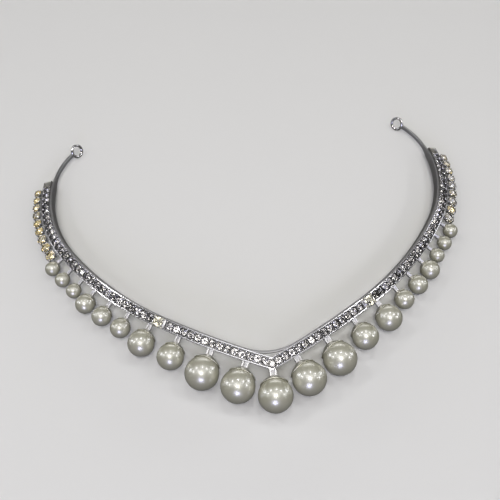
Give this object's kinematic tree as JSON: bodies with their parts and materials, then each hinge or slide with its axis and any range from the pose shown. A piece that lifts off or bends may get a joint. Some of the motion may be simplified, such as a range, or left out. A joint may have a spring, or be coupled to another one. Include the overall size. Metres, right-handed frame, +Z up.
{
  "type": "tiara",
  "caption": "Hairband tiara whose front is a V of channel-set stones, with an outward fringe of graduated pearls and small crystals, lying on a surface.",
  "frame": {"origin": "centre of the bounding box, on the surface that the tiara lies on", "axes": "+X across the hoop to its right half, +Y from the tip of the V to the open end with the two loops, +Z up, the way the stones face"},
  "size_m": [0.1436, 0.1064, 0.0106],
  "materials": {
    "rhodium_plate": "polished rhodium-coloured plate",
    "pearl_coat": "cream pearl lacquer with a soft lustre",
    "channel_stone": "foiled clear cut stone",
    "crystal": "clear cut crystal with warm glints",
    "accent_crystal": "slightly yellow cut crystal"
  },
  "bodies": {
    "root": {"accent_stone_left": "accent_crystal", "accent_stone_right": "accent_crystal", "band_frame": "rhodium_plate", "crystal_left_1": "crystal", "crystal_left_2": "crystal", "crystal_left_3": "crystal", "crystal_left_4": "crystal", "crystal_left_5": "crystal", "crystal_left_6": "crystal", "crystal_left_7": "crystal", "crystal_left_8": "crystal", "crystal_left_9": "crystal", "crystal_right_1": "crystal", "crystal_right_2": "crystal", "crystal_right_3": "crystal", "crystal_right_4": "crystal", "crystal_right_5": "crystal", "crystal_right_6": "crystal", "crystal_right_7": "crystal", "crystal_right_8": "crystal", "crystal_right_9": "crystal", "pearl_centre": "pearl_coat", "pearl_left_01": "pearl_coat", "pearl_left_02": "pearl_coat", "pearl_left_03": "pearl_coat", "pearl_left_04": "pearl_coat", "pearl_left_05": "pearl_coat", "pearl_left_06": "pearl_coat", "pearl_left_07": "pearl_coat", "pearl_left_08": "pearl_coat", "pearl_left_09": "pearl_coat", "pearl_left_10": "pearl_coat", "pearl_right_01": "pearl_coat", "pearl_right_02": "pearl_coat", "pearl_right_03": "pearl_coat", "pearl_right_04": "pearl_coat", "pearl_right_05": "pearl_coat", "pearl_right_06": "pearl_coat", "pearl_right_07": "pearl_coat", "pearl_right_08": "pearl_coat", "pearl_right_09": "pearl_coat", "pearl_right_10": "pearl_coat", "stone_row_front": "channel_stone", "stone_row_left": "channel_stone", "stone_row_right": "channel_stone"}
  },
  "joints": []
}
